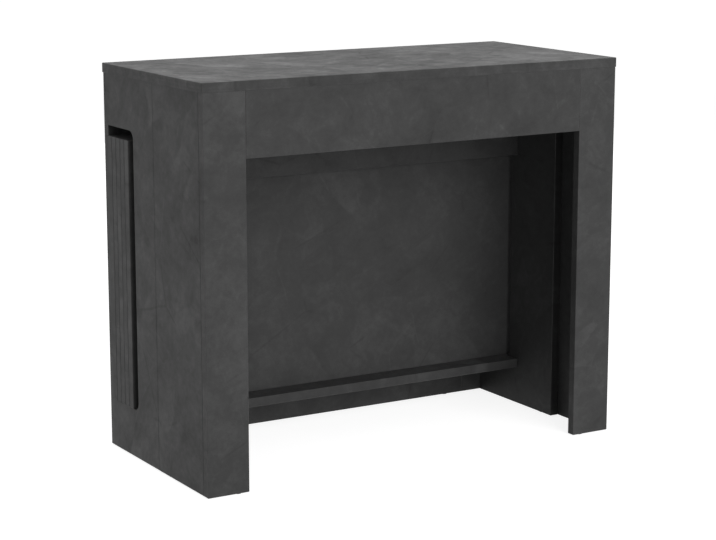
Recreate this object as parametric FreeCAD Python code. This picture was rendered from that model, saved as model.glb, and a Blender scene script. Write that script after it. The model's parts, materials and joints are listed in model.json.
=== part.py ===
# Extending console table.
# Closed, it is a narrow console. The front portal pulls out on two runs of nested
# aluminium rails that lie under the top. Five loose leaves stand on edge on a shelf
# behind the knee space, slide out through windows in the sides, and are laid on the rails.
# Frame: millimetres, +Z up, the front towards -Y, the origin on the floor under the
# middle of the closed table.
import FreeCAD
import Part
import math
import os

# Overall size, closed
TABLE_WIDTH = 900.0
TABLE_DEPTH = 420.0
TABLE_HEIGHT = 750.0

# Faced boards
BOARD = 18.0  # thickness of every board
EDGE_EASE = 0.8  # bevel along the banded board edges
TOP_OVERHANG = 2.0  # the top beyond each outer side

# Front portal: two L-shaped legs whose returns are the front of the table's sides, a fascia and
# the batten that ties them
LEG_WIDTH = 84.0
FASCIA_HEIGHT = 120.0
PORTAL_CLEARANCE = 0.3  # returns to the sides behind them and beside them
PORTAL_HEAD_GAP = 0.15  # portal to the top above it
BATTEN_LAP = 30.0  # the batten behind each front leg
BATTEN_MARGIN = 8.0  # batten to the fascia's lower edge and to the cross bars

# Leaves and the compartment that holds them
LEAF_COUNT = 5
LEAF_GAP = 0.4  # behind each stored leaf
SHELF_HEIGHT = 97.0  # floor to the shelf's upper face
SHELF_LIP = 11.0  # the shelf in front of the stop rail
STOP_RAIL_COVER = 85.0  # how far the stop rail reaches down in front of the leaves
FINGER_GAP = 19.0  # in front of the stored leaves
HEAD_GAP = 20.0  # above the stored leaves
WINDOW_DROP = 99.0  # underside of the top to the heads of the side windows
SILL_DROP = 1.0  # window sills below the shelf's upper face
WINDOW_RADIUS = 16.0
WINDOW_STRIP = 87.0  # the outer sides in front of their windows
INNER_SIDE_LAP = 62.0  # the inner sides beyond the front of the outer sides

# Telescopic rails: an aluminium extrusion with a T-tongue on its outer face, a T-groove
# on its inner face and hollow chambers round the groove
STAGE_COUNT = 8  # sliding stages from the carcass to the portal
NECK_HEIGHT = 6.0  # the tongue's stem
HEAD_OVERHANG = 3.5  # the tongue's head above and below its stem
HEAD_WIDTH = 3.5  # the head, across
NECK_PLAY = 2.0  # stem to the groove's lips, above and below
HEAD_PLAY = 2.5  # head to the groove, above and below
SIDE_PLAY = 1.5  # head to the groove, across
LIP = 3.5  # thickness of the groove's lips
WALL = 2.0  # walls round the chambers
BACK_CHAMBER = 4.0  # the chamber behind the groove, across
END_CHAMBER = 7.0  # the chambers above and below the groove, in height
RAIL_GAP = 1.0  # between the bodies of neighbouring rails
RAIL_END_GAP = 2.0  # rail ends to the fascia and to the back panel
TOP_CLEARANCE = 0.5  # rails below the top

# Nylon slides: a shoe on the rear end of each tongue, a guide in the front end of each groove
SHOE_LENGTH = 40.0
GUIDE_LENGTH = 17.0
STOP_GAP = 0.5  # shoe to guide at full stretch
SLIDE_CLEARANCE = 0.2

# Cross bars that tie the left and right rail of each moving stage
BAR_WIDTH = 30.0
BAR_THICKNESS = 3.5
BAR_PAD = 0.6  # raised seat under the bar's own rails
BAR_END_MARGIN = 15.0  # rail ends to the first and last bar

# Bent steel angles
ANGLE_STEEL = 3.0
BEND_RADIUS = 2.0  # inside the bend
HOLE_RADIUS = 2.5
HOLE_INSET = 10.0  # end of a leg to its first screw hole
HOLE_SPACING = 24.0
RAIL_ANGLE_LENGTH = 60.0  # along the rail
RAIL_ANGLE_FOOT = 40.0  # along the fascia
RAIL_ANGLE_MARGIN = 3.0  # angle to the rail's upper and lower face
TOP_ANGLE_LEG = 38.0
TOP_ANGLE_WIDTH = 30.0
TOP_ANGLE_INSET = 77.0  # outer angles to the rails beside them

# Glides
GLIDE_THICKNESS = 1.5
GLIDE_RADIUS = 7.0
GLIDE_EASE = 0.5
GLIDE_INSET = 40.0  # ends of the upright boards to the glide centres
LEG_GLIDE_INSET = 20.0  # edges of the front leg boards to the glide centres

# Places of the boards
FRONT = -TABLE_DEPTH / 2
BACK = TABLE_DEPTH / 2
PANEL_BOTTOM = GLIDE_THICKNESS
PANEL_TOP = TABLE_HEIGHT - BOARD
SIDE_OUTER = TABLE_WIDTH / 2 - TOP_OVERHANG
SIDE_JOINT = SIDE_OUTER - BOARD  # where the outer and inner side meet
SIDE_INNER = SIDE_JOINT - BOARD
PORTAL_BACK = FRONT + BOARD
PORTAL_TOP = PANEL_TOP - PORTAL_HEAD_GAP
PORTAL_SIDE = SIDE_OUTER + PORTAL_CLEARANCE
LEG_INNER = PORTAL_SIDE - LEG_WIDTH
RETURN_INNER = PORTAL_SIDE - BOARD
FASCIA_BOTTOM = PORTAL_TOP - FASCIA_HEIGHT
BACK_FACE = BACK - BOARD  # inner face of the back panel
WINDOW_HEAD = PANEL_TOP - WINDOW_DROP
WINDOW_SILL = SHELF_HEIGHT - SILL_DROP
LEAF_TOP = WINDOW_HEAD - HEAD_GAP
LEAF_WIDTH = LEAF_TOP - SHELF_HEIGHT  # what one leaf adds to the table
STORE_FRONT = BACK_FACE - LEAF_COUNT * (BOARD + LEAF_GAP) - FINGER_GAP
OUTER_SIDE_FRONT = STORE_FRONT - WINDOW_STRIP
INNER_SIDE_FRONT = OUTER_SIDE_FRONT - INNER_SIDE_LAP
RETURN_BACK = OUTER_SIDE_FRONT - PORTAL_CLEARANCE

# The rail's section. Heights in it are above the rail's lower face.
HEAD_HEIGHT = NECK_HEIGHT + 2 * HEAD_OVERHANG
MOUTH_HEIGHT = NECK_HEIGHT + 2 * NECK_PLAY
GROOVE_HEIGHT = HEAD_HEIGHT + 2 * HEAD_PLAY
GROOVE_WIDTH = HEAD_WIDTH + 2 * SIDE_PLAY
GROOVE_BACK = BACK_CHAMBER + 2 * WALL
LIP_BACK = GROOVE_BACK + GROOVE_WIDTH
RAIL_WIDTH = LIP_BACK + LIP
GROOVE_LOW = END_CHAMBER + 2 * WALL
GROOVE_HIGH = GROOVE_LOW + GROOVE_HEIGHT
RAIL_MIDDLE = (GROOVE_LOW + GROOVE_HIGH) / 2
RAIL_HEIGHT = GROOVE_LOW + GROOVE_HIGH
HEAD_NEAR = RAIL_GAP + LIP + SIDE_PLAY  # a rail's outer face to its tongue's head
HEAD_FAR = HEAD_NEAR + HEAD_WIDTH

# Places of the rails, and how far they stretch
RAIL_TOP = PANEL_TOP - TOP_CLEARANCE
RAIL_BOTTOM = RAIL_TOP - RAIL_HEIGHT
RAIL_FRONT = PORTAL_BACK + RAIL_END_GAP
RAIL_BACK = BACK_FACE - RAIL_END_GAP
RAIL_LENGTH = RAIL_BACK - RAIL_FRONT
STAGE_TRAVEL = RAIL_LENGTH - SHOE_LENGTH - GUIDE_LENGTH - STOP_GAP  # until a shoe meets its guide
EXTENSION = STAGE_COUNT * STAGE_TRAVEL
BAR_TOP = RAIL_BOTTOM - BAR_PAD
BAR_BOTTOM = BAR_TOP - BAR_THICKNESS
BATTEN_TOP = BAR_BOTTOM - BATTEN_MARGIN

SIDES = {"left": -1, "right": 1}


def span(side, near, far):
    """The X range between two distances from the middle, on the left or the right."""
    return sorted((side * near, side * far))


def block(x, y, z):
    """A plain box from its three ranges."""
    corner = FreeCAD.Vector(x[0], y[0], z[0])
    return Part.makeBox(x[1] - x[0], y[1] - y[0], z[1] - z[0], corner)


def board(x, y, z, joint=None):
    """A faced board: a box with eased edges. Edges at the height of a joint with another board
    stay sharp, so that the two faces run on."""
    raw = block(x, y, z)
    eased = raw.Edges
    if joint is not None:
        eased = [e for e in eased if any(abs(v.Z - joint) > EDGE_EASE for v in e.Vertexes)]
    return raw.makeChamfer(EDGE_EASE, eased)


def prism(outline, y):
    """An outline of (x, z) points carried along Y."""
    points = [FreeCAD.Vector(px, y[0], pz) for px, pz in outline]
    face = Part.Face(Part.makePolygon(points + points[:1]))
    return face.extrude(FreeCAD.Vector(0, y[1] - y[0], 0))


def save(name, *solids):
    """Writes one node. Several solids make a group of separate pieces."""
    shape = solids[0] if len(solids) == 1 else Part.makeCompound(solids)
    shape.exportStep(os.path.join("parts", name + ".step"))


# Bent steel angles

def angle(place, leg_a, leg_b, width, holes_a, holes_b):
    """A steel angle with a rounded bend and screw holes. place turns distances along the
    first leg, along the second leg and across the width into a point of the table."""
    outer = ANGLE_STEEL + BEND_RADIUS

    def bend(radius):
        reach = outer - radius * math.sqrt(0.5)
        return reach, reach

    def line(start, end):
        return Part.LineSegment(place(*start, 0), place(*end, 0)).toShape()

    def arc(start, middle, end):
        return Part.Arc(place(*start, 0), place(*middle, 0), place(*end, 0)).toShape()

    outline = [
        arc((0, outer), bend(outer), (outer, 0)),
        line((outer, 0), (leg_a, 0)),
        line((leg_a, 0), (leg_a, ANGLE_STEEL)),
        line((leg_a, ANGLE_STEEL), (outer, ANGLE_STEEL)),
        arc((outer, ANGLE_STEEL), bend(BEND_RADIUS), (ANGLE_STEEL, outer)),
        line((ANGLE_STEEL, outer), (ANGLE_STEEL, leg_b)),
        line((ANGLE_STEEL, leg_b), (0, leg_b)),
        line((0, leg_b), (0, outer)),
    ]
    origin = place(0, 0, 0)
    plate = Part.Face(Part.Wire(outline)).extrude(place(0, 0, width) - origin)
    drills = []
    for number in range(holes_a):
        centre = place(leg_a - HOLE_INSET - number * HOLE_SPACING, 0, width / 2)
        drills.append(Part.makeCylinder(HOLE_RADIUS, ANGLE_STEEL, centre, place(0, 1, 0) - origin))
    for number in range(holes_b):
        centre = place(0, leg_b - HOLE_INSET - number * HOLE_SPACING, width / 2)
        drills.append(Part.makeCylinder(HOLE_RADIUS, ANGLE_STEEL, centre, place(1, 0, 0) - origin))
    return plate.cut(drills)


def top_bracket(x):
    """An angle in the corner between the top and the back panel."""

    def place(back, down, across):
        return FreeCAD.Vector(x - TOP_ANGLE_WIDTH / 2 + across, BACK_FACE - back, PANEL_TOP - down)

    return angle(place, TOP_ANGLE_LEG, TOP_ANGLE_LEG, TOP_ANGLE_WIDTH, 1, 1)


def rail_bracket(side):
    """An angle from the fascia's back to the inner face of the portal's own rail."""
    face = rail_outer_face(STAGE_COUNT) - RAIL_WIDTH
    height = RAIL_HEIGHT - 2 * RAIL_ANGLE_MARGIN
    low = RAIL_BOTTOM + RAIL_ANGLE_MARGIN

    def place(along, inwards, up):
        return FreeCAD.Vector(side * (face - inwards), PORTAL_BACK + along, low + up)

    return angle(place, RAIL_ANGLE_LENGTH, RAIL_ANGLE_FOOT, height, 2, 1)


# Carcass: the top, double sides with leaf windows, rear stiles and back panel. The inner sides
# lap behind the leg returns, which slide along them.

def leaf_window(side):
    """The hole through one double side that the leaves slide out by, rounded at the front."""
    hole = block(
        span(side, SIDE_INNER - BOARD, SIDE_OUTER + BOARD),
        (STORE_FRONT, BACK_FACE),
        (WINDOW_SILL, WINDOW_HEAD),
    )
    through = [e for e in hole.Edges if e.BoundBox.XLength > BOARD]
    front_corners = [e for e in through if e.CenterOfMass.y < BACK_FACE - BOARD]
    return hole.makeFillet(WINDOW_RADIUS, front_corners)


def make_carcass():
    half = TABLE_WIDTH / 2
    height = (PANEL_BOTTOM, PANEL_TOP)
    save("top_panel", board((-half, half), (FRONT, BACK), (PANEL_TOP, TABLE_HEIGHT), PANEL_TOP))
    for name, side in SIDES.items():
        window = leaf_window(side)
        outer = board(span(side, SIDE_JOINT, SIDE_OUTER), (OUTER_SIDE_FRONT, BACK), height, PANEL_TOP)
        inner = board(span(side, SIDE_INNER, SIDE_JOINT), (INNER_SIDE_FRONT, BACK_FACE), height, PANEL_TOP)
        stile = board(span(side, LEG_INNER, SIDE_JOINT), (BACK_FACE, BACK), height, PANEL_TOP)
        save(name + "_outer_side", outer.cut(window))
        save(name + "_inner_side", inner.cut(window))
        save(name + "_rear_stile", stile)
    save("back_panel", board((-LEG_INNER, LEG_INNER), (BACK_FACE, BACK), height, PANEL_TOP))
    between_sides = (-SIDE_INNER, SIDE_INNER)
    stop_front = STORE_FRONT - BOARD
    stop_rail = board(between_sides, (stop_front, STORE_FRONT), (LEAF_TOP - STOP_RAIL_COVER, WINDOW_HEAD))
    save("leaf_stop_rail", stop_rail)
    shelf = board(between_sides, (stop_front - SHELF_LIP, BACK_FACE), (SHELF_HEIGHT - BOARD, SHELF_HEIGHT))
    save("leaf_shelf", shelf)
    rails_inner = rail_outer_face(STAGE_COUNT) - RAIL_WIDTH
    outer_angle = rails_inner - TOP_ANGLE_INSET - TOP_ANGLE_WIDTH / 2
    save("top_brackets", *[top_bracket(x) for x in (-outer_angle, 0, outer_angle)])


# Leaves, stored on edge: the first stands next to the back panel

def make_leaves():
    half = TABLE_WIDTH / 2
    for number in range(1, LEAF_COUNT + 1):
        back = BACK_FACE - LEAF_GAP - (number - 1) * (BOARD + LEAF_GAP)
        save("leaf_%d" % number, board((-half, half), (back - BOARD, back), (SHELF_HEIGHT, LEAF_TOP)))


# Front portal: the part that pulls out

def make_portal():
    thickness = (FRONT, PORTAL_BACK)
    height = (PANEL_BOTTOM, PORTAL_TOP)
    for name, side in SIDES.items():
        leg = board(span(side, LEG_INNER, PORTAL_SIDE), thickness, height, PORTAL_TOP)
        behind = board(span(side, RETURN_INNER, PORTAL_SIDE), (PORTAL_BACK, RETURN_BACK), height, PORTAL_TOP)
        save(name + "_front_leg", leg)
        save(name + "_leg_return", behind)
    fascia = board((-LEG_INNER, LEG_INNER), thickness, (FASCIA_BOTTOM, PORTAL_TOP), PORTAL_TOP)
    save("fascia", fascia)
    reach = LEG_INNER + BATTEN_LAP
    upright = (FASCIA_BOTTOM + BATTEN_MARGIN, BATTEN_TOP)
    save("portal_batten", board((-reach, reach), (PORTAL_BACK, PORTAL_BACK + BOARD), upright))
    save("rail_brackets", *[rail_bracket(side) for side in SIDES.values()])


# Telescopic rails

def rail_outer_face(stage):
    """Distance from the middle to the outer face of a stage's rail body."""
    return SIDE_INNER - stage * (RAIL_WIDTH + RAIL_GAP)


def placed(outline, side, stage):
    """Section points, as distances inwards and heights, moved to a stage's rail on one side."""
    outer = rail_outer_face(stage)
    return [(side * (outer - inwards), RAIL_BOTTOM + height) for inwards, height in outline]


def rectangle(inwards, heights):
    """The four corners of a rectangle in the section."""
    (u0, u1), (w0, w1) = inwards, heights
    return [(u0, w0), (u1, w0), (u1, w1), (u0, w1)]


def tongue_outline(play):
    """The T-tongue, from its upper root round to its lower root, grown by a clearance."""
    neck = NECK_HEIGHT / 2 + play
    head = HEAD_HEIGHT / 2 + play
    near = play - HEAD_NEAR
    far = -HEAD_FAR - play
    upper = [(0, neck), (near, neck), (near, head), (far, head)]
    lower = [(inwards, -height) for inwards, height in reversed(upper)]
    return [(inwards, RAIL_MIDDLE + height) for inwards, height in upper + lower]


def rail_outline(has_tongue):
    """The extrusion's outer outline, with its groove and, on a sliding rail, its tongue."""
    mouth_low = RAIL_MIDDLE - MOUTH_HEIGHT / 2
    mouth_high = RAIL_MIDDLE + MOUTH_HEIGHT / 2
    outline = [(0, 0), (RAIL_WIDTH, 0), (RAIL_WIDTH, mouth_low), (LIP_BACK, mouth_low)]
    outline += [(LIP_BACK, GROOVE_LOW), (GROOVE_BACK, GROOVE_LOW)]
    outline += [(GROOVE_BACK, GROOVE_HIGH), (LIP_BACK, GROOVE_HIGH)]
    outline += [(LIP_BACK, mouth_high), (RAIL_WIDTH, mouth_high)]
    outline += [(RAIL_WIDTH, RAIL_HEIGHT), (0, RAIL_HEIGHT)]
    return outline + tongue_outline(0) if has_tongue else outline


def chambers():
    """The hollow chambers below, above and behind the groove."""
    across = (WALL, RAIL_WIDTH - WALL)
    return [
        rectangle(across, (WALL, GROOVE_LOW - WALL)),
        rectangle(across, (GROOVE_HIGH + WALL, RAIL_HEIGHT - WALL)),
        rectangle((WALL, GROOVE_BACK - WALL), (GROOVE_LOW, GROOVE_HIGH)),
    ]


def rail(side, stage):
    """One extrusion. The fixed rail lies flat on the inner side, so it has no tongue."""
    length = (RAIL_FRONT, RAIL_BACK)
    solid = prism(placed(rail_outline(stage > 0), side, stage), length)
    return solid.cut([prism(placed(chamber, side, stage), length) for chamber in chambers()])


def shoe(side, stage):
    """The nylon shoe round the rear end of a tongue. It runs in the groove of the rail outside."""
    length = (RAIL_BACK - SHOE_LENGTH, RAIL_BACK)
    near = RAIL_GAP + LIP + SLIDE_CLEARANCE
    far = RAIL_GAP + LIP + GROOVE_WIDTH - SLIDE_CLEARANCE
    outer = rectangle((-far, -near), (GROOVE_LOW + SLIDE_CLEARANCE, GROOVE_HIGH - SLIDE_CLEARANCE))
    tongue = prism(placed(tongue_outline(0), side, stage), length)
    return prism(placed(outer, side, stage), length).cut(tongue)


def guide(side, stage):
    """The nylon guide in the front end of a groove. The next rail's tongue runs through it,
    and that rail's shoe stops against it at full stretch."""
    length = (RAIL_FRONT, RAIL_FRONT + GUIDE_LENGTH)
    outer = rectangle((GROOVE_BACK, LIP_BACK), (GROOVE_LOW, GROOVE_HIGH))
    passage = prism(placed(tongue_outline(SLIDE_CLEARANCE), side, stage + 1), length)
    return prism(placed(outer, side, stage), length).cut(passage)


def cross_bar(stage):
    """The flat bar under a moving stage. The bars follow each other from the last stage at
    the front to the first at the back, so that none has to pass another."""
    first = RAIL_FRONT + BAR_END_MARGIN
    last = RAIL_BACK - BAR_END_MARGIN - BAR_WIDTH
    front = last - (last - first) * (stage - 1) / (STAGE_COUNT - 2)
    along = (front, front + BAR_WIDTH)
    reach = rail_outer_face(stage)
    bar = block((-reach, reach), along, (BAR_BOTTOM, BAR_TOP))
    pads = []
    for side in SIDES.values():
        pads.append(block(span(side, reach - RAIL_WIDTH, reach), along, (BAR_TOP, RAIL_BOTTOM)))
    return bar.fuse(pads).removeSplitter()


def make_rails():
    for name, side in SIDES.items():
        save("fixed_%s_rail" % name, rail(side, 0))
        save("portal_%s_rail" % name, rail(side, STAGE_COUNT))
    save("fixed_rail_guides", *[guide(side, 0) for side in SIDES.values()])
    save("portal_rail_shoes", *[shoe(side, STAGE_COUNT) for side in SIDES.values()])
    for stage in range(1, STAGE_COUNT):
        slides = []
        for name, side in SIDES.items():
            save("stage_%d_%s_rail" % (stage, name), rail(side, stage))
            slides += [shoe(side, stage), guide(side, stage)]
        save("stage_%d_slides" % stage, *slides)
        save("stage_%d_cross_bar" % stage, cross_bar(stage))


# Glides under everything that stands on the floor

def glide(x, y):
    """A low plastic disc with an eased lower edge."""
    disc = Part.makeCylinder(GLIDE_RADIUS, GLIDE_THICKNESS, FreeCAD.Vector(x, y, 0))
    floor_edge = [e for e in disc.Edges if e.BoundBox.ZMax < GLIDE_THICKNESS / 2]
    return disc.makeChamfer(GLIDE_EASE, floor_edge)


def make_glides():
    carcass = []
    portal = []
    for side in SIDES.values():
        carcass.append(glide(side * (SIDE_INNER + BOARD / 2), INNER_SIDE_FRONT + GLIDE_INSET))
        carcass.append(glide(side * (SIDE_JOINT + BOARD / 2), BACK - GLIDE_INSET))
        carcass.append(glide(side * (LEG_INNER - GLIDE_INSET), BACK - BOARD / 2))
        portal.append(glide(side * (LEG_INNER + LEG_GLIDE_INSET), FRONT + BOARD / 2))
        portal.append(glide(side * (RETURN_INNER + BOARD / 2), RETURN_BACK - GLIDE_INSET))
    save("carcass_glides", *carcass)
    save("portal_glides", *portal)


os.makedirs("parts", exist_ok=True)
make_carcass()
make_leaves()
make_portal()
make_rails()
make_glides()
print("rail %.1f x %.1f x %.1f mm" % (RAIL_WIDTH, RAIL_LENGTH, RAIL_HEIGHT))
print("extension %.1f mm, %d stages of %.2f mm" % (EXTENSION, STAGE_COUNT, STAGE_TRAVEL))
print("room for %.2f leaves of %.1f mm" % (EXTENSION / LEAF_WIDTH, LEAF_WIDTH))
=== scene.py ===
# %% [markdown]
# # An extending console table, dressed for the studio
#
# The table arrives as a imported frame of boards, rails and small hardware, already in metres
# and in its final place. Nothing here moves a board: this lesson gives every piece its
# finish, adds the screws that hold the hidden mechanism together, and lights the whole.

# %% Load the frame
import json
import math

import bpy
import numpy as np
from mathutils import Matrix, Vector


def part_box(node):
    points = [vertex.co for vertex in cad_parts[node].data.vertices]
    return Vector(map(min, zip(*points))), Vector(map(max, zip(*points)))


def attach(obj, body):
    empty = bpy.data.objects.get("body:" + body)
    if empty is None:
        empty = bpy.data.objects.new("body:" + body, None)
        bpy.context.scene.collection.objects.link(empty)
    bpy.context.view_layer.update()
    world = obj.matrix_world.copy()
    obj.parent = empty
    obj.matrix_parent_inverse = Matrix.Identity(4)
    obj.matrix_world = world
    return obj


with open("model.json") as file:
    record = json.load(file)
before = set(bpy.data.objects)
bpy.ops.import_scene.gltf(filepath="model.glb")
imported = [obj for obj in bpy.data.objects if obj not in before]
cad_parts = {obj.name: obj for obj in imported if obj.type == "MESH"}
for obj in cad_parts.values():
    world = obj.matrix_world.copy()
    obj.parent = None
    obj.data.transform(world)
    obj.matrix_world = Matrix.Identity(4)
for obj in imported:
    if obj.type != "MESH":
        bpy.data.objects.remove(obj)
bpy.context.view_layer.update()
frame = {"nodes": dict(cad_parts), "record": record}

# %% [markdown]
# ## Camera
#
# The photograph looks at the left front corner from a little above the table top, with a long
# lens. The numbers come from fitting the table's corners to their places in the picture. A
# camera could also be aimed with a Track To constraint, but plain angles say more: how far it
# is turned to the right, and how far it looks down.

# %% Camera
STAND = (-2.044, -3.407, 1.137)
TURN_RIGHT = math.radians(30.84)
LOOK_DOWN = math.radians(11.36)
LENS_MM = 104.04
SENSOR_MM = 36.0

lens = bpy.data.cameras.new("studio_camera")
lens.lens = LENS_MM
lens.sensor_width = SENSOR_MM
camera = bpy.data.objects.new("studio_camera", lens)
camera.location = STAND
camera.rotation_euler = (math.pi / 2 - LOOK_DOWN, 0.0, -TURN_RIGHT)
bpy.context.scene.collection.objects.link(camera)
bpy.context.scene.camera = camera
print("camera at", STAND, "with a", LENS_MM, "mm lens")

# %% [markdown]
# ## Node helpers
#
# Every finish below is a graph of nodes. One graph could be wired by hand in the Shader Editor,
# but this table has more than twenty boards, each with its own piece of print, so the wiring is
# written down. The first helpers start a material, fill a socket with a value or with another
# node's output, and add a node, a Math node or a Vector Math node.

# %% Node helpers
def start_finish(name):
    """A new node material, with its tree and its Principled shader."""
    finish = bpy.data.materials.new(name)
    finish.use_nodes = True
    return finish, finish.node_tree, finish.node_tree.nodes["Principled BSDF"]


def plug(tree, source, socket):
    """Links an output to a socket, or writes a plain value into the socket."""
    if isinstance(source, bpy.types.NodeSocket):
        tree.links.new(source, socket)
    else:
        socket.default_value = source


def add(tree, kind, sockets, **settings):
    """One node, with its settings and its sockets filled."""
    node = tree.nodes.new(kind)
    for name, value in settings.items():
        setattr(node, name, value)
    for name, source in sockets.items():
        plug(tree, source, node.inputs[name])
    return node


def calc(tree, operation, *values):
    """The output of one Math node."""
    return add(tree, "ShaderNodeMath", dict(enumerate(values)), operation=operation).outputs[0]


def vector(tree, operation, *values):
    """The output of one Vector Math node: a number for a dot product or a length, else a vector."""
    node = add(tree, "ShaderNodeVectorMath", dict(enumerate(values)), operation=operation)
    return node.outputs["Value" if operation in ("DOT_PRODUCT", "LENGTH") else "Vector"]


# %% [markdown]
# The next helpers are the words that the finishes are written in. Every pattern swings about 0,
# so patterns can be added up, each with its weight, and the middle tone stays where it is. The
# sum goes through a colour ramp, which turns a tone into a colour.

# %% Words for finishes
HALF = 0.5


def clouds(tree, place, per_metre, detail=3.0, roughness=0.55, distortion=0.0):
    """Fractal noise about 0, with about per_metre clouds to the metre."""
    sockets = {"Vector": place, "Scale": per_metre, "Detail": detail}
    sockets.update({"Roughness": roughness, "Distortion": distortion})
    return calc(tree, "SUBTRACT", add(tree, "ShaderNodeTexNoise", sockets).outputs["Fac"], HALF)


def weigh(tree, *pairs):
    """The sum of values times weights, from (value, weight) pairs."""
    terms = [calc(tree, "MULTIPLY", value, weight) for value, weight in pairs]
    result = terms[0]
    for term in terms[1:]:
        result = calc(tree, "ADD", result, term)
    return result


def window(tree, value, low, high):
    """0 below low, 1 above high, and a smooth rise between them. Low above high falls instead."""
    sockets = {"Value": value, "From Min": low, "From Max": high}
    return add(tree, "ShaderNodeMapRange", sockets, interpolation_type="SMOOTHSTEP").outputs["Result"]


def ramp(tree, tone, *stops):
    """A colour ramp through (tone, grey or colour) stops, with tones from -0.5 to 0.5."""
    node = add(tree, "ShaderNodeValToRGB", {"Fac": calc(tree, "ADD", tone, HALF)})
    marks = node.color_ramp.elements
    while len(marks) < len(stops):
        marks.new(HALF)
    for mark, (position, colour) in zip(marks, stops):
        mark.position = position + HALF
        mark.color = (colour, colour, colour, 1.0) if isinstance(colour, float) else (*colour, 1.0)
    return node.outputs["Color"]


# %% [markdown]
# The last helpers deal with places and with the shader itself: a piece's own coordinates in
# metres, the same coordinates moved, turned or stretched, the way a face looks, and then the
# three things that a finish does: it gives a colour, a roughness and a relief.

# %% Places
def own_place(tree):
    """The piece's Object coordinates, which move with it."""
    return add(tree, "ShaderNodeTexCoord", {}).outputs["Object"]


def mapped(tree, place, **changes):
    """Coordinates changed by a Mapping node: scale, then rotation, then location."""
    sockets = {name.title(): value for name, value in changes.items()}
    return add(tree, "ShaderNodeMapping", {"Vector": place, **sockets}).outputs[0]


def facing(tree):
    """The X, Y and Z shares of the direction that a face looks in."""
    normal = add(tree, "ShaderNodeNewGeometry", {}).outputs["True Normal"]
    return add(tree, "ShaderNodeSeparateXYZ", {"Vector": normal}).outputs


# %% Colour, roughness and relief
def paint(tree, shader, tone, stops):
    """The shader's colour, from a tone and the stops of its ramp."""
    plug(tree, ramp(tree, tone, *stops), shader.inputs["Base Color"])


def roughen(tree, shader, value, swing, middle):
    """The shader's roughness: middle, plus swing times a value about 0."""
    plug(tree, calc(tree, "MULTIPLY_ADD", value, swing, middle), shader.inputs["Roughness"])


def emboss(tree, shader, height, strength, depth):
    """The shader's relief: a bump of about depth metres."""
    sockets = {"Height": height, "Strength": strength, "Distance": depth}
    plug(tree, add(tree, "ShaderNodeBump", sockets).outputs["Normal"], shader.inputs["Normal"])


# %% [markdown]
# ## The board decor: trowelled concrete
#
# The boards are chipboard with a printed, dark grey concrete face. The print copies a wall
# that was smoothed with a trowel: soft clouds of several sizes, sweeps of the blade, streaks
# where it dragged, a few thin lines from its corner, and a fine grain. A photograph of the
# print would be the quick way, but it would repeat; nodes give each board its own piece of wall.
#
# The sweeps come from a Voronoi texture. Its cells are stretched and bent by noise, so that
# they look like strokes. Inside a cell, the tone climbs along a direction drawn from the cell's
# own random colour, and the cell's border is where the stroke breaks off. The borders are
# softened a little, because hard ones look like cut crystal.

# %% Bent and stretched places
BEND_DETAIL = 3.0
BEND_ROUGHNESS = 0.45


def bend(tree, place, marks, often, far):
    """Pushes points about by fractal noise. With marks to the metre, the noise has often clouds to
    a mark, and pushes a point by up to about half of far marks."""
    reach = far / marks
    sockets = {"Vector": place, "Scale": often * marks}
    sockets.update({"Detail": BEND_DETAIL, "Roughness": BEND_ROUGHNESS})
    drift = add(tree, "ShaderNodeTexNoise", sockets).outputs["Color"]
    swing = vector(tree, "SUBTRACT", drift, (HALF, HALF, HALF))
    return vector(tree, "MULTIPLY_ADD", swing, (reach, reach, reach), place)


def lay(tree, place, turn, along, across):
    """Turns the board's plane, flattens it and counts it in marks, along to the metre one way and
    across the other."""
    turned = mapped(tree, place, rotation=(0.0, 0.0, turn))
    return mapped(tree, turned, scale=(along, across, 0.0))


# %% Trowel marks
SWEEP_BEND = (0.5, 0.9)
LINE_BEND = (0.4, 0.4)
BORDER_SOFTNESS = 0.16


def sweeps(tree, place, turn, along, across):
    """Trowel sweeps about 0: in each stretched, bent cell, the point's offset from the cell's
    middle, multiplied into a direction taken from the cell's random colour."""
    laid = lay(tree, bend(tree, place, across, *SWEEP_BEND), turn, along, across)
    sockets = {"Vector": laid, "Scale": 1.0}
    cells = add(tree, "ShaderNodeTexVoronoi", sockets, voronoi_dimensions="2D", feature="SMOOTH_F1")
    cells.inputs["Smoothness"].default_value = BORDER_SOFTNESS
    offset = vector(tree, "SUBTRACT", laid, cells.outputs["Position"])
    heading = vector(tree, "SUBTRACT", cells.outputs["Color"], (HALF, HALF, 0.0))
    return vector(tree, "DOT_PRODUCT", offset, heading)


def streaks(tree, place, turn, along, across):
    """Streaks about 0 where the trowel dragged: noise that is drawn out one way."""
    return clouds(tree, lay(tree, place, turn, along, across), 1.0, distortion=0.3)


def corner_lines(tree, place, turn, along, across, width):
    """Thin lines, 1 on the border between two bent cells and 0 from width metres away."""
    laid = lay(tree, bend(tree, place, across, *LINE_BEND), turn, along, across)
    sockets = {"Vector": laid, "Scale": 1.0}
    cells = add(tree, "ShaderNodeTexVoronoi", sockets, voronoi_dimensions="2D", feature="DISTANCE_TO_EDGE")
    return window(tree, cells.outputs["Distance"], width * across, 0.0)


# %% [markdown]
# ## The layers of one print
#
# A trowelled wall isn't stroked all one way. Two slow noises share out the board: where
# the first is high, broad strokes lean one way, and where it is low, short ones lean the other
# way; the second keeps the pale lines and the dark lines apart. The tables give each layer's
# measure, so that a stroke can be made longer or a cloud smaller without touching the wiring.

# %% Layers of the print
# name: clouds to the metre, detail, roughness, distortion
CLOUDS = {
    "large": (5.0, 4.0, 0.65, 0.3),
    "medium": (22.0, 5.0, 0.68, 0.5),
    "small": (90.0, 4.0, 0.65, 0.0),
    "grain": (420.0, 2.0, 0.55, 0.0),
}
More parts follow.
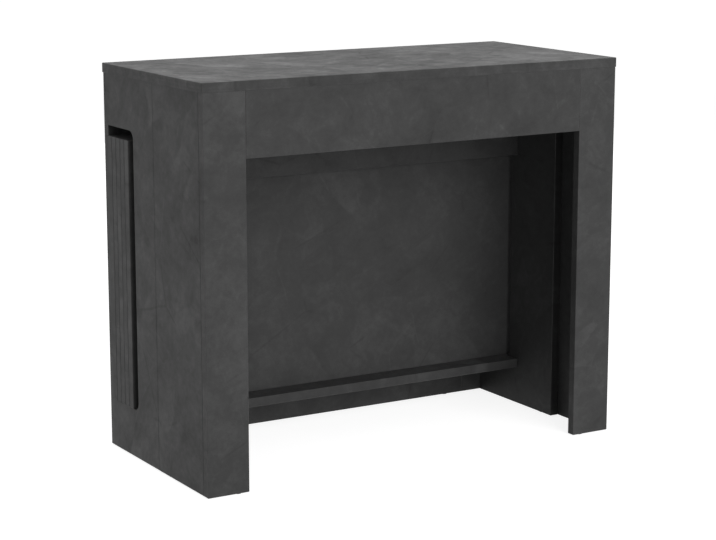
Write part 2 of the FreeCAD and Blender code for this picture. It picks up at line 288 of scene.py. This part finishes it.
# name: kind, share of the board, turn in radians, marks to the metre along and across, line width
MARKS = {
    "broad": (sweeps, "first", 0.9, 6.0, 14.0),
    "short": (sweeps, "second", -0.5, 14.0, 32.0),
    "dragged_up": (streaks, "first", 1.1, 9.0, 60.0),
    "dragged_down": (streaks, "second", -0.6, 9.0, 60.0),
    "pale_lines": (corner_lines, "pale", 1.25, 4.0, 9.0, 0.0028),
    "dark_lines": (corner_lines, "dark", -0.7, 5.0, 8.0, 0.0032),
}
STROKE_SHARES = 5.0
LINE_SHARES = 9.0
# share: noise at which its marks begin to show, and at which they show in full
FIRST, SECOND = (-0.06, 0.10), (0.06, -0.10)
PALE, DARK = (0.03, 0.12), (-0.03, -0.12)


def print_layers(tree, place):
    """All clouds and marks by name: a mark is multiplied by the share of the board it belongs to."""
    layers = {name: clouds(tree, place, *measure) for name, measure in CLOUDS.items()}
    strokes = clouds(tree, place, STROKE_SHARES, detail=2.0)
    lines = clouds(tree, place, LINE_SHARES, detail=2.0)
    shares = {
        "first": window(tree, strokes, *FIRST), "second": window(tree, strokes, *SECOND),
        "pale": window(tree, lines, *PALE), "dark": window(tree, lines, *DARK),
    }
    for name, (kind, share, *measure) in MARKS.items():
        layers[name] = calc(tree, "MULTIPLY", kind(tree, place, *measure), shares[share])
    return layers


# %% [markdown]
# ## One board at a time
#
# A board's thin direction is the smallest side of its box. The pattern is turned so that its
# own plane lies in the board's face, and pushed aside by a step that differs from board to
# board, as boards cut from different sheets do. One material for all boards would be simpler,
# but the print would run through every joint as if the table were cut from one block. Only a
# leg's return and the side behind it come from one sheet, so there the print does run on.
#
# The narrow faces carry edge banding, on which the print is drawn out into streaks along the
# edge. The chamfer between face and band is painted a little paler, as a painted highlight.

# %% Plane and edges of a board
AXES = np.eye(3)
BAND_STRETCH = (5.0, 5.0, 600.0)
BAND_FLATNESS = (0.4, 0.3)
# where the chamfer's painted highlight rises and falls, by the share of the thin axis in a face's
# direction
BEVEL_HIGHLIGHT_RISE, BEVEL_HIGHLIGHT_FALL = (0.5, 0.6), (0.9, 0.8)


def board_plane(node):
    """The number of the board's thin axis, and the turn that lays its face in the XY plane."""
    low, high = (np.array(corner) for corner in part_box(node))
    thin = int(np.argmin(high - low))
    first, second = [axis for axis in range(3) if axis != thin]
    rows = np.array([AXES[first], AXES[second], np.cross(AXES[first], AXES[second])])
    return thin, Matrix(rows.tolist()).to_euler()


def edge_layers(tree, place, thin):
    """Streaks on faces that look away from the thin axis, and a painted highlight on the chamfer, 1 on
    faces that look halfway. Flatness is the thin axis's share of the direction that a face looks in."""
    flatness = calc(tree, "ABSOLUTE", facing(tree)[thin])
    band = window(tree, flatness, *BAND_FLATNESS)
    drawn = clouds(tree, mapped(tree, place, scale=BAND_STRETCH), 1.0, detail=2.0)
    rise, fall = window(tree, flatness, *BEVEL_HIGHLIGHT_RISE), window(tree, flatness, *BEVEL_HIGHLIGHT_FALL)
    return {"banding": calc(tree, "MULTIPLY", drawn, band), "bevel_highlight": calc(tree, "MULTIPLY", rise, fall)}


# %% [markdown]
# The weights below say how strongly each layer shows in the tone. Sheets differ a little in
# shade and in contrast, as printed sheets do. The stop rail's much darker sheet is painted shade,
# where the fascia shades it. Pale spots are smoother than dark ones, so seen at a flat angle, as
# the table top is, the clouds show in the gloss as well.

# %% Board finish
DECOR = ((-0.5, 0.018), (0.0, 0.046), (0.5, 0.100))
TONE_WEIGHTS = {
    "large": 0.40, "medium": 0.40, "small": 0.22, "grain": 0.12,
    "broad": 0.19, "short": 0.14, "dragged_up": 0.10, "dragged_down": 0.10,
    # bevel_highlight: a painted highlight, a paler tone on the chamfer of every board edge
    "pale_lines": 0.06, "dark_lines": -0.10, "banding": 0.12, "bevel_highlight": 0.14,
}
HEIGHT_WEIGHTS = {"grain": 0.5, "small": 0.4, "broad": 1.0, "short": 1.0}
DECOR_ROUGHNESS = 0.50
GRAIN_ROUGHNESS = 0.12
TONE_ROUGHNESS = -0.60
DECOR_GLOSS = 0.13
DECOR_RELIEF = (0.25, 0.0003)
SHEET_STEP = np.array([1.37, 2.11, 0.73])
SHEET_WRAP = np.array([11.0, 13.0, 5.0])

LEAVES = 5
# name: shade added to the tone, contrast
PLAIN_SHEET = (0.0, 1.0)
SIDE_SHEET = (-0.04, 1.05)
LEAF_SHEET = (0.01, 0.8)
SHEETS = {
    # leaf_stop_rail: its -0.10 is painted shade, standing in for the fascia's shadow on the rail
    "top_panel": (0.0, 1.3), "fascia": (-0.04, 1.08), "leaf_stop_rail": (-0.10, 1.0),
    "left_front_leg": (0.04, 0.95), "right_front_leg": (0.03, 0.95), "right_inner_side": (-0.02, 1.0),
    **{side + piece: SIDE_SHEET for side in ("left", "right") for piece in ("_outer_side", "_leg_return")},
    **{"leaf_%d" % number: LEAF_SHEET for number in range(1, LEAVES + 1)},
}


def board_finish(node, number):
    """The concrete decor for one board, cut from the sheet with that number."""
    thin, turn = board_plane(node)
    finish, tree, shader = start_finish("concrete_decor_" + node)
    step = [float(part) for part in SHEET_STEP * number % SHEET_WRAP]
    place = mapped(tree, own_place(tree), rotation=turn, location=step)
    layers = {**print_layers(tree, place), **edge_layers(tree, place, thin)}

    shade, contrast = SHEETS.get(node, PLAIN_SHEET)
    mixed = weigh(tree, *((layers[name], weight) for name, weight in TONE_WEIGHTS.items()))
    tone = calc(tree, "MULTIPLY", mixed, contrast)
    paint(tree, shader, calc(tree, "ADD", tone, shade), DECOR)
    rough = weigh(tree, (layers["grain"], GRAIN_ROUGHNESS), (tone, TONE_ROUGHNESS))
    roughen(tree, shader, rough, 1.0, DECOR_ROUGHNESS)
    shader.inputs["Specular IOR Level"].default_value = DECOR_GLOSS
    height = weigh(tree, *((layers[name], weight) for name, weight in HEIGHT_WEIGHTS.items()))
    emboss(tree, shader, height, *DECOR_RELIEF)
    return finish


# %% Dress the boards
slot_of = {part["node"]: part["material_slot"] for part in frame["record"]["subparts"]}


def nodes_in(slot):
    """The nodes that the record gives to one material slot."""
    return [node for node in frame["nodes"] if slot_of[node] == slot]


def dress(nodes, finish):
    """Puts a finish into the nodes' own material slots."""
    for node in nodes:
        for slot in frame["nodes"][node].material_slots:
            slot.material = finish


boards = nodes_in("board")
sheet_of = {node: number for number, node in enumerate(boards, start=1)}
for side in ("left", "right"):
    sheet_of[side + "_leg_return"] = sheet_of[side + "_outer_side"]
for node in boards:
    dress([node], board_finish(node, sheet_of[node]))
print("concrete decor on", len(boards), "boards from", len(set(sheet_of.values())), "sheets")

# %% [markdown]
# ## Anodised aluminium
#
# The rails are extruded through a die, which draws fine lines along their length, and then
# anodised to a soft silver. The saw leaves short slanting marks on the cut ends. The shader's
# Anisotropic setting would stretch the highlights, but it draws no lines that can be seen from
# close by. So noise is squeezed across the drawing direction, and becomes lines along it. The
# flat cross bars are drawn along X and the rails along Y, so the direction is an argument.

# %% Aluminium finish
ANODISED = ((-0.5, (0.36, 0.37, 0.38)), (0.0, (0.52, 0.53, 0.54)), (0.5, (0.68, 0.68, 0.69)))
SAW_SLANT = (0.6, 0.5, 0.6)
SAW_TEETH = {"Scale": 420.0, "Distortion": 1.5, "Detail": 2.0}
SAW_ENDS = (0.8, 0.9)
METAL_RELIEF = (0.2, 0.0002)


def aluminium_finish(name, squeeze, cut_axis):
    """Die lines from noise squeezed by the factors in squeeze, a slow bloom, and a wave texture
    as saw marks on the ends, which look along cut_axis."""
    finish, tree, shader = start_finish(name)
    place = own_place(tree)
    die_lines = clouds(tree, mapped(tree, place, scale=squeeze), 1.0, roughness=0.6)
    bloom = clouds(tree, place, per_metre=18.0)
    sawn = window(tree, calc(tree, "ABSOLUTE", facing(tree)[cut_axis]), *SAW_ENDS)
    sockets = {"Vector": mapped(tree, place, rotation=SAW_SLANT), **SAW_TEETH}
    teeth = calc(tree, "MULTIPLY", add(tree, "ShaderNodeTexWave", sockets).outputs["Fac"], sawn)

    tone = weigh(tree, (die_lines, 0.5), (bloom, 0.3), (teeth, 0.35))
    paint(tree, shader, tone, ANODISED)
    shader.inputs["Metallic"].default_value = 1.0
    roughen(tree, shader, tone, 0.25, 0.38)
    emboss(tree, shader, weigh(tree, (die_lines, 1.0), (teeth, 1.5)), *METAL_RELIEF)
    return finish


aluminium = nodes_in("rail_aluminium")
bars = [node for node in aluminium if node.endswith("cross_bar")]
dress(bars, aluminium_finish("anodised_cross_bar", (3.0, 700.0, 700.0), 0))
rails = [node for node in aluminium if node not in bars]
dress(rails, aluminium_finish("anodised_rail", (700.0, 3.0, 700.0), 1))
print("aluminium on", len(rails), "rails and", len(bars), "cross bars")

# %% [markdown]
# ## Nylon, plated steel and glides
#
# Three small finishes, each of which could be one flat colour if nobody ever opened the table.
# The black nylon slides are moulded and a little glossy where they rub. The steel angles are
# zinc plated: a bluish silver with warmer patches, and rolling lines. The glides are moulded in
# black plastic, with paler scuffs on the side that rubs on the floor.

# %% Nylon
NYLON = ((-0.5, 0.006), (0.0, 0.011), (0.5, 0.024))
RUBBED_ALONG = (500.0, 12.0, 500.0)
FINE_RELIEF = (0.2, 0.0001)


def nylon_finish():
    """Black moulded nylon: fine grain, and slow streaks where it rubs along the rails."""
    finish, tree, shader = start_finish("black_nylon")
    place = own_place(tree)
    grain = clouds(tree, place, per_metre=900.0, detail=2.0)
    rubbed = clouds(tree, mapped(tree, place, scale=RUBBED_ALONG), 1.0, detail=2.0)
    tone = weigh(tree, (grain, 0.4), (rubbed, 0.6))
    paint(tree, shader, tone, NYLON)
    roughen(tree, shader, tone, -0.4, 0.48)
    emboss(tree, shader, grain, *FINE_RELIEF)
    return finish


slides = nodes_in("nylon")
dress(slides, nylon_finish())
print("nylon on", len(slides), "sets of slides")

# %% Plated steel
ZINC = ((-0.2, (0.40, 0.42, 0.46)), (0.0, (0.50, 0.51, 0.52)), (0.2, (0.55, 0.53, 0.46)))
ROLLED_ALONG = (60.0, 60.0, 1400.0)


def zinc_finish():
    """Zinc plating: cool silver with warm patches from one noise, and short rolling lines from
    another, which also make it rougher or smoother."""
    finish, tree, shader = start_finish("zinc_plated_steel")
    place = own_place(tree)
    patches = clouds(tree, place, per_metre=55.0, distortion=0.6)
    lines = clouds(tree, mapped(tree, place, scale=ROLLED_ALONG), 1.0, detail=2.0)
    tone = weigh(tree, (patches, 1.0), (lines, 0.3))
    paint(tree, shader, tone, ZINC)
    shader.inputs["Metallic"].default_value = 1.0
    roughen(tree, shader, lines, 0.30, 0.37)
    emboss(tree, shader, lines, *FINE_RELIEF)
    return finish


zinc = zinc_finish()
angles = nodes_in("bracket_steel")
dress(angles, zinc)
print("zinc plating on", len(angles), "sets of angles")

# %% Glides
GLIDE_BLACK = ((-0.5, 0.008), (0.0, 0.014), (0.5, 0.060))
DRAGGED_ALONG = (900.0, 40.0, 1.0)
SCUFFED = (0.05, 0.20)
DOWNWARD = (-0.4, -0.7)


def glide_finish():
    """Black plastic with mould grain, and pale scuffs on faces that look down."""
    finish, tree, shader = start_finish("glide_plastic")
    place = own_place(tree)
    grain = clouds(tree, place, per_metre=1200.0, detail=2.0)
    scuffs = clouds(tree, mapped(tree, place, scale=DRAGGED_ALONG), 1.0, detail=2.0)
    down = window(tree, facing(tree)["Z"], *DOWNWARD)
    worn = calc(tree, "MULTIPLY", window(tree, scuffs, *SCUFFED), down)
    tone = weigh(tree, (grain, 0.5), (worn, 0.4))
    paint(tree, shader, tone, GLIDE_BLACK)
    roughen(tree, shader, worn, 0.2, 0.5)
    emboss(tree, shader, grain, *FINE_RELIEF)
    return finish


glides = nodes_in("glide_plastic")
dress(glides, glide_finish())
print("plastic on", len(glides), "sets of glides")

# %% [markdown]
# ## Screws
#
# The steel angles, the cross bars and the batten behind the fascia are held by pan-head screws
# with a cross recess. A head could be spun from a profile and the recess cut with a Boolean.
# But such a head is a height over a disc, so it is simpler to work it out on a polar grid:
# rings of points, each ring a circle, with the recess sunk into the dome.

# %% Shape of a pan head
RINGS = 13
SPOKES = 32
RECESS_DEPTH = 0.6
RECESS_HALF, RECESS_SLOPE = 0.15, 0.08
RECESS_REACH, RECESS_RISE = 0.56, 0.30


def recess(across, along):
    """One bar of the cross, as a share of its depth: 1 in the middle of a narrow strip, falling
    evenly to 0 at its sides and at about half the radius. Lengths are shares of the radius."""
    strip = np.clip((RECESS_HALF - np.abs(across)) / RECESS_SLOPE, 0.0, 1.0)
    length = np.clip((RECESS_REACH - np.abs(along)) / RECESS_RISE, 0.0, 1.0)
    return strip * length


def head_shape(radius, height):
    """Rings of points over a disc, in rows from the top's middle out to the rim and down to the
    seat. With s the share of the radius, the dome is height * (1 - 0.55 s^2 - 0.10 s^8), less the
    deeper of two crossed recess bars."""
    share = np.linspace(0.0, 1.0, RINGS)[1:, None]
    spoke = np.linspace(0.0, 2.0 * np.pi, SPOKES, endpoint=False)[None, :]
    x, y = share * np.cos(spoke), share * np.sin(spoke)
    dome = height * (1.0 - 0.55 * share**2 - 0.10 * share**8)
    sunk = RECESS_DEPTH * height * np.maximum(recess(x, y), recess(y, x))
    top = np.stack([radius * x, radius * y, dome - sunk], axis=-1)
    seat = top[-1:] * np.array([1.0, 1.0, 0.0])
    rings = np.concatenate([top, seat]).reshape(-1, 3)
    poles = np.array([[0.0, 0.0, (1.0 - RECESS_DEPTH) * height], [0.0, 0.0, 0.0]])
    return np.concatenate([poles, rings])


def head_faces():
    """Triangles round both poles and between neighbouring rings, as indices into head_shape's points."""
    start = 2 + SPOKES * np.arange(RINGS)
    here = np.arange(SPOKES)
    after = (here + 1) % SPOKES
    a = (start[:-1, None] + here).ravel()
    b = (start[:-1, None] + after).ravel()
    c = (start[1:, None] + after).ravel()
    d = (start[1:, None] + here).ravel()
    cap = np.stack([np.zeros_like(here), start[0] + here, start[0] + after], axis=1)
    base = np.stack([np.ones_like(here), start[-1] + after, start[-1] + here], axis=1)
    return np.concatenate([cap, np.stack([a, d, b], axis=1), np.stack([b, d, c], axis=1), base])


print("a pan head has", len(head_faces()), "triangles")

# %% [markdown]
# All heads of one group go into one mesh. The shape is worked out once, turned to face the way
# its screws look, and added to every seat in one sum of arrays.

# %% Placing screws
HEAD_SIZE = (0.0040, 0.0024)
SPIN = 2.4


def screw_heads(name, body, seats, outward, size=HEAD_SIZE):
    """One mesh of pan heads: seats are the points they sit on, outward the way they look, and size
    a head's radius and height. Each head is turned by its own angle, as screws end up."""
    seats = np.atleast_2d(np.array(seats, dtype=float))
    up = np.broadcast_to(np.array(outward, dtype=float), seats.shape)
    side = np.roll(up, 1, axis=1)
    third = np.cross(up, side)
    spin = SPIN * np.arange(len(seats))[:, None]
    u = np.cos(spin) * side + np.sin(spin) * third
    v = np.cross(up, u)
    shape = head_shape(*size)
    points = seats[:, None, :] + np.einsum("pk,nkc->npc", shape, np.stack([u, v, up], axis=1))
    faces = head_faces()[None] + len(shape) * np.arange(len(seats))[:, None, None]
    mesh = bpy.data.meshes.new(name)
    mesh.from_pydata(points.reshape(-1, 3), [], faces.reshape(-1, 3).tolist())
    mesh.materials.append(zinc)
    piece = bpy.data.objects.new(name, mesh)
    bpy.context.scene.collection.objects.link(piece)
    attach(piece, body)
    print(name, len(seats), "heads", len(mesh.polygons), "triangles, rides on", body)


# %% [markdown]
# The seats are measured from the nodes' own boxes, so a screw always sits on the piece that
# it holds: on the inner faces of the angles, under the ends of the cross bars, and on the back
# of the batten.

# %% Screws of the angles
ANGLE = 0.003
ANGLE_LEG = 0.040
HOLE_INSET = 0.010
HOLE_SPACING = 0.024
TOP_ANGLE_HALF = 0.015


def corners(node):
    """The lowest and highest corner of a node's box."""
    return [np.array(corner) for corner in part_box(node)]


low, high = corners("rail_brackets")
middle_z = (low[2] + high[2]) / 2
leg_y = np.array([high[1] - HOLE_INSET, high[1] - HOLE_INSET - HOLE_SPACING])
inner = high[0] - ANGLE
for name, side in (("left", -1.0), ("right", 1.0)):
    seats = np.stack([np.full(2, side * inner), leg_y, np.full(2, middle_z)], axis=1)
    screw_heads(name + "_rail_angle_screws", "front_portal", seats, (-side, 0.0, 0.0))
foot_x = high[0] - ANGLE_LEG + HOLE_INSET
seats = [(-foot_x, low[1] + ANGLE, middle_z), (foot_x, low[1] + ANGLE, middle_z)]
screw_heads("fascia_angle_screws", "front_portal", seats, (0.0, 1.0, 0.0))

low, high = corners("top_brackets")
angle_x = np.array([low[0] + TOP_ANGLE_HALF, 0.0, high[0] - TOP_ANGLE_HALF])
under = np.stack([angle_x, np.full(3, low[1] + HOLE_INSET), np.full(3, high[2] - ANGLE)], axis=1)
screw_heads("top_angle_screws", "carcass", under, (0.0, 0.0, -1.0))
upright = np.stack([angle_x, np.full(3, high[1] - ANGLE), np.full(3, low[2] + HOLE_INSET)], axis=1)
screw_heads("back_angle_screws", "carcass", upright, (0.0, -1.0, 0.0))

# %% Screws of the cross bars
STAGES = 7
BAR_INSET = 0.009
BAR_HALF_SPACING = 0.008
BAR_HEAD = (0.0035, 0.0020)

for stage in range(1, STAGES + 1):
    low, high = corners("stage_%d_cross_bar" % stage)
    reach = high[0] - BAR_INSET
    middle_y = (low[1] + high[1]) / 2
    offsets = (-BAR_HALF_SPACING, BAR_HALF_SPACING)
    seats = [(x, middle_y + y, low[2]) for x in (-reach, reach) for y in offsets]
    screw_heads("stage_%d_bar_screws" % stage, "stage_%d" % stage, seats, (0.0, 0.0, -1.0), BAR_HEAD)

# %% Screws of the batten
FASCIA_SCREWS = 6
FASCIA_SPREAD = 0.30
BATTEN_INSET = 0.015

low, high = corners("portal_batten")
row = np.linspace(-FASCIA_SPREAD, FASCIA_SPREAD, FASCIA_SCREWS)
batten_x = np.concatenate([row, [low[0] + BATTEN_INSET, high[0] - BATTEN_INSET]])
level = np.array([high[1], (low[2] + high[2]) / 2])
seats = np.column_stack([batten_x, np.tile(level, (len(batten_x), 1))])
screw_heads("batten_screws", "front_portal", seats, (0.0, 1.0, 0.0))

# %% [markdown]
# ## Floor and light
#
# The photograph is a studio picture on white, with soft light from all round that is strongest
# in front. An HDRI picture is the usual way to get such light, but this script reads no files.
# So a dim dome of even light fills the shadows, and five large soft panels light one side each.
#
# The camera, and the reflections, see a white room; the light that falls on the table stays at
# the level at which a colour renders about as it is written. A lamp's reflection would be added
# to the white room's, and the gloss would come out too bright, so the panels are hidden from
# reflections.

# %% White room
DOME = 0.25
WHITE = (1.0, 1.0, 1.0, 1.0)


def seen(tree):
    """1 for rays that see the room: from the camera, off gloss and through clear pieces."""
    rays = add(tree, "ShaderNodeLightPath", {}).outputs
    mirrored = calc(tree, "MAXIMUM", rays["Is Glossy Ray"], rays["Is Transmission Ray"])
    return calc(tree, "MAXIMUM", rays["Is Camera Ray"], mirrored)


world = bpy.data.worlds.new("white_room")
bpy.context.scene.world = world
world.use_nodes = True
air = world.node_tree
background = air.nodes["Background"]
plug(air, calc(air, "MULTIPLY_ADD", seen(air), 1.0 - DOME, DOME), background.inputs["Strength"])
background.inputs["Color"].default_value = WHITE
print("dome", DOME)

# %% Soft panels
TABLE_TOP, TABLE_MIDDLE = (0.0, 0.0, 0.7), (0.0, 0.0, 0.4)
# name: place, point that it looks at, size in metres, watts
PANELS = {
    "overhead_light": ((0.0, 0.0, 2.8), TABLE_TOP, 2.6, 29.0),
    "front_light": ((0.3, -4.0, 1.4), TABLE_MIDDLE, 3.2, 156.0),
    "left_light": ((-4.0, 0.6, 1.1), TABLE_MIDDLE, 3.2, 14.0),
    "right_light": ((4.0, 1.8, 1.1), TABLE_MIDDLE, 3.2, 70.0),
    "rear_light": ((0.0, 4.0, 1.1), TABLE_MIDDLE, 3.2, 60.0),
}


def soft_panel(name, place, aim, size, watts):
    """A square soft box of size metres that looks from place towards aim."""
    light = bpy.data.lights.new(name, "AREA")
    light.shape = "SQUARE"
    light.size = size
    light.energy = watts
    panel = bpy.data.objects.new(name, light)
    panel.location = place
    panel.rotation_euler = (Vector(aim) - Vector(place)).to_track_quat("-Z", "Y").to_euler()
    panel.visible_glossy = False
    bpy.context.scene.collection.objects.link(panel)
    print(name, watts, "W")


for name, measure in PANELS.items():
    soft_panel(name, *measure)

# %% [markdown]
# The floor is a pale disc. It glows a little to the camera and the reflections alone, a bit more
# far away, so that it reads as white and has no horizon, and still keeps the table's shadow.
# Seen from below it is clear, so the underside of the table can be looked at.

# %% Floor
FLOOR_RADIUS = 40.0


def floor_surface(radius, rings=24, spokes=48):
    """A flat disc: rings at radius times s squared, with s even steps, so that the middle is finer."""
    share = np.linspace(0.0, 1.0, rings)[1:, None] ** 2
    spoke = np.linspace(0.0, 2.0 * np.pi, spokes, endpoint=False)[None, :]
    x, y = radius * share * np.cos(spoke), radius * share * np.sin(spoke)
    ring = np.stack([x, y, np.zeros_like(x)], axis=-1)
    here = np.arange(spokes)
    after = (here + 1) % spokes
    start = 1 + spokes * np.arange(rings - 1)
    cap = np.stack([np.zeros_like(here), start[0] + here, start[0] + after], axis=1)
    a, b = start[:-1, None] + here, start[:-1, None] + after
    c, d = start[1:, None] + after, start[1:, None] + here
    quads = np.stack([a.ravel(), d.ravel(), c.ravel(), b.ravel()], axis=1)
    return np.concatenate([np.zeros((1, 3)), ring.reshape(-1, 3)]), cap.tolist() + quads.tolist()


points, faces = floor_surface(FLOOR_RADIUS)
floor_mesh = bpy.data.meshes.new("studio_floor")
floor_mesh.from_pydata(points, [], faces)
floor = bpy.data.objects.new("studio_floor", floor_mesh)
bpy.context.scene.collection.objects.link(floor)
print("floor", len(floor_mesh.polygons), "faces")

# %% Floor finish
FLOOR_PALE = ((-0.5, 0.40), (0.5, 0.44))
NEAR_GLOW = 0.85
FAR_GLOW = 0.95
NEAR = 2.0
FAR = 12.0
FLOOR_ROUGHNESS = 0.9

floor_finish, tree, shader = start_finish("pale_floor")
place = own_place(tree)
paint(tree, shader, clouds(tree, place, per_metre=1.5), FLOOR_PALE)
shader.inputs["Roughness"].default_value = FLOOR_ROUGHNESS
shader.inputs["Specular IOR Level"].default_value = 0.0
shader.inputs["Emission Color"].default_value = WHITE
away = window(tree, vector(tree, "LENGTH", place), NEAR, FAR)
glow = calc(tree, "MULTIPLY_ADD", away, FAR_GLOW - NEAR_GLOW, NEAR_GLOW)
plug(tree, calc(tree, "MULTIPLY", seen(tree), glow), shader.inputs["Emission Strength"])
clear = add(tree, "ShaderNodeBsdfTransparent", {})
below = add(tree, "ShaderNodeNewGeometry", {}).outputs["Backfacing"]
either = add(tree, "ShaderNodeMixShader", {0: below, 1: shader.outputs[0], 2: clear.outputs[0]})
plug(tree, either.outputs[0], tree.nodes["Material Output"].inputs["Surface"])
floor_mesh.materials.append(floor_finish)
print("floor glows from", NEAR_GLOW, "near to", FAR_GLOW, "far away")

# %% [markdown]
# ## Finish
#
# The view transform stays Standard, so that colours keep the values they were given.

# %% Finish
bpy.context.scene.view_settings.view_transform = "Standard"
bpy.context.view_layer.update()
